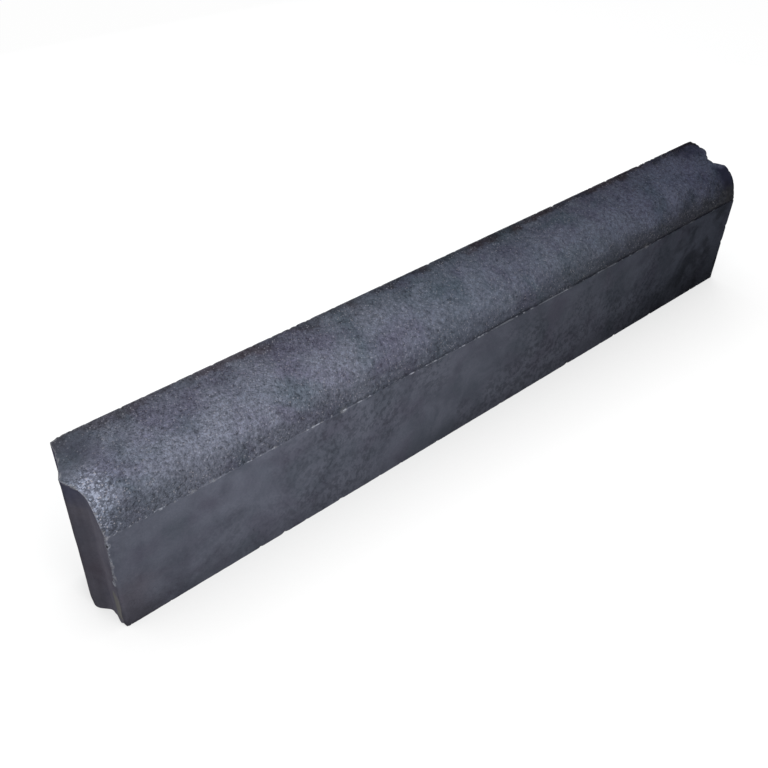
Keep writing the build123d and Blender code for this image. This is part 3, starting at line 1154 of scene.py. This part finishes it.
def cement_colour(tree, cloud, stained, cool, warm, light, far_shading_tint, mid_shading_tint, lip_shadow_share):
    """The cement wanders between a cool and a warm dark tone, and from there to a light one. Rust and
    crust lie over it, and the smear tints it, as do the painted shading along the stone and the
    painted shadow on the ends' upper part."""
    rusty = largest(tree, stained["Patches"], stained["Near"])
    rust = product(tree, stained["Rim"], rusty, RUST_SHARE)
    colour = tint(tree, "MIX", cloud["Hue"], cool, warm)
    for blend, share, paint_colour in (
        ("MIX", cloud["Cloud"], light),
        ("MIX", total_of(tree, rust, product(tree, stained["Mauve"], MAUVE_SHARE)), RUST_TINGE),
        ("MIX", product(tree, stained["Crust"], CRUST_SHARE), BEIGE_CRUST),
        # Painted shading: darker from the middle on; at the far end the walls darken further and the
        # crown turns bluer and a little lighter.
        ("MULTIPLY", band(tree, stained["Mid"], *MID_SHADED), mid_shading_tint),
        ("MULTIPLY", stained["Far"], far_shading_tint),
        ("MULTIPLY", stained["Smear"], PURPLE_SMEAR),
        # Painted shadow on the ends' upper part, under the crown's lip.
        ("MULTIPLY", product(tree, stained["Top"], lip_shadow_share), NAVY_LIP_SHADOW),
    ):
        colour = tint(tree, blend, share, colour, paint_colour)
    return colour


print("cement is mixed from", RUST_TINGE[:3], "rust and", BEIGE_CRUST[:3], "crust, among others")


# %% A concrete material
def concrete(name, cool, warm, light, sand_size, sand_tone, pale, mottle, streak, hole_share, bump,
             roughness, sheen, stain_and_shade_shares, glint=0.0, lip_shadow_share=0.0, far_shading_tint=PLAIN, mid_shading_tint=PLAIN):
    """One finish of the same concrete. Its three colours are the cement's, the other values say how
    much each shared effect shows, and each stain or painted shade in the shares takes that share off
    the tone. The glint is a painted highlight, and the far and middle tints and the lip shadow are
    painted shading."""
    material = bpy.data.materials.new(name)
    material.use_nodes = True
    tree = material.node_tree
    tree.nodes.clear()
    place = node(tree, "ShaderNodeTexCoord").outputs["Object"]
    grains = placed(tree, sand, place, ("Grains per metre", 1 / sand_size))
    drawn = placed(tree, drag, place)["Streak"]
    hole = placed(tree, holes, place, ("Share", hole_share))["Hole"]
    cloud, stained, worn = (placed(tree, group, place) for group in (clouds, stains, wear))

    smeared = largest(tree, stained["Smear"], product(tree, stained["Corner"], CORNER_SMOOTH))
    sandy = maths(tree, "SUBTRACT", 1.0, smeared)
    calm = product(tree, stained["Mid"], CALM_SAND)
    grain_tone = total_of(tree, grains["Tone"], product(tree, grains["Fine"], calm, -1.0), -0.5)
    # Painted highlight: the glint brightens the sharper grains and turns more of them pale.
    glinting = product(tree, stained["Glint"], glint)
    sharp = total_of(tree, grains["Tone"], grains["Fine"])
    tone = weighted(tree, 1.0, (grain_tone, sand_tone, sandy), (total_of(tree, drawn, -0.5), streak),
                    (cloud["Mottle"], -mottle), (glinting, band(tree, sharp, *SPARKLE_EDGE)))
    # Each stain or painted shade, such as the shadow above the seam and the far flank's shade, takes
    # its share off the tone.
    for title, share in stain_and_shade_shares.items():
        mask = worn[title] if title == "Shadow" else stained[title]
        tone = product(tree, tone, weighted(tree, 1.0, (mask, -share)))

    cement = cement_colour(tree, cloud, stained, cool, warm, light, far_shading_tint, mid_shading_tint, lip_shadow_share)
    tone_links = (("Red", tone), ("Green", tone), ("Blue", tone))
    grey = node(tree, "ShaderNodeCombineColor", tone_links).outputs["Color"]
    colour = tint(tree, "MULTIPLY", 1.0, cement, grey)
    # Pale grains, more of them in the painted glint, then wear, furrow, burr and holes go over the
    # cement.
    for share, paint_colour in (
        (product(tree, grains["Pale"], total_of(tree, glinting, pale), sandy), PALE_SAND),
        (product(tree, worn["Wear"], WEAR_SHARE), WORN_CEMENT),
        (product(tree, worn["Furrow"], FURROW_SHARE), FURROW_SHADE),
        (product(tree, worn["Burr"], BURR_SHARE), BURR_CEMENT),
        (product(tree, largest(tree, hole, worn["Pit"]), HOLE_SHARE), HOLE_SHADE),
    ):
        colour = tint(tree, "MIX", share, colour, paint_colour)

    rough = band(tree, grains["Tone"], 0.2, 0.8, roughness + DULLER, roughness - SHINIER)
    lumpy = product(tree, grains["Height"], sandy, weighted(tree, 1.0, (calm, -1.0)))
    height = weighted(tree, lumpy, (cloud["Cloud"], 0.5), (hole, -3.0))
    rise = node(tree, "ShaderNodeBump", (("Height", height), ("Distance", bump), ("Strength", 1.0)))
    surface = node(tree, "ShaderNodeBsdfPrincipled", (
        ("Base Color", colour), ("Roughness", rough), ("Specular IOR Level", sheen),
        ("Normal", rise.outputs["Normal"])))
    node(tree, "ShaderNodeOutputMaterial", (("Surface", surface.outputs["BSDF"]),))
    print("material", name)
    return material


# %% The four finishes: pressed crown, moulded walls, joint ends and bed
# The crown's far and middle tints are painted shading along the stone, and its glint is a painted
# highlight.
crown_finish = concrete(
    "pressed_crown", cool=(0.107, 0.131, 0.167, 1.0), warm=(0.127, 0.126, 0.181, 1.0),
    light=(0.183, 0.197, 0.252, 1.0), sand_size=1.7 * MM, sand_tone=1.25, pale=0.5, mottle=0.20,
    streak=0.05, hole_share=0.02, bump=0.85 * MM, roughness=0.48, sheen=0.08, glint=0.98,
    far_shading_tint=(1.045, 1.007, 1.130, 1.0), mid_shading_tint=(0.916, 0.954, 0.963, 1.0),
    stain_and_shade_shares={
        "Back": 0.29, "Rim": 0.50, "Flank": 0.54, "Smear": 0.62, "Shadow": 0.34, "Corner": 0.29})
# The walls' far and middle tints are painted shade, darker towards the far end.
wall_finish = concrete(
    "moulded_wall", cool=(0.109, 0.121, 0.154, 1.0), warm=(0.117, 0.118, 0.157, 1.0),
    light=(0.158, 0.169, 0.215, 1.0), sand_size=1.2 * MM, sand_tone=0.20, pale=0.04, mottle=0.37,
    streak=0.03, hole_share=0.04, bump=0.10 * MM, roughness=0.72, sheen=0.01,
    far_shading_tint=(0.84, 0.86, 0.89, 1.0), mid_shading_tint=(0.90, 0.90, 0.90, 1.0),
    stain_and_shade_shares={"Foot": 0.56, "Near": 0.15, "Blot": 0.46})
# The ends take the painted shadow on their upper part, under the crown's lip.
end_finish = concrete(
    "joint_end", cool=(0.114, 0.115, 0.152, 1.0), warm=(0.125, 0.114, 0.146, 1.0),
    light=(0.160, 0.154, 0.190, 1.0), sand_size=1.1 * MM, sand_tone=0.12, pale=0.0, mottle=0.22,
    streak=0.16, hole_share=0.04, bump=0.12 * MM, roughness=0.72, sheen=0.015, lip_shadow_share=1.0,
    stain_and_shade_shares={"Tongue": 0.42, "Foot": 0.06})
bed_finish = concrete(
    "bed_face", cool=(0.095, 0.099, 0.113, 1.0), warm=(0.097, 0.095, 0.110, 1.0),
    light=(0.140, 0.143, 0.160, 1.0), sand_size=2.2 * MM, sand_tone=0.5, pale=0.15, mottle=0.25,
    streak=0.02, hole_share=0.25, bump=0.35 * MM, roughness=0.75, sheen=0.1, stain_and_shade_shares={})
for finish_made in (crown_finish, wall_finish, end_finish, bed_finish):
    mesh.materials.append(finish_made)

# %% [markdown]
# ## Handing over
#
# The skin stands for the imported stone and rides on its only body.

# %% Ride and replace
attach(stone, "root")
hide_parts(STONE)
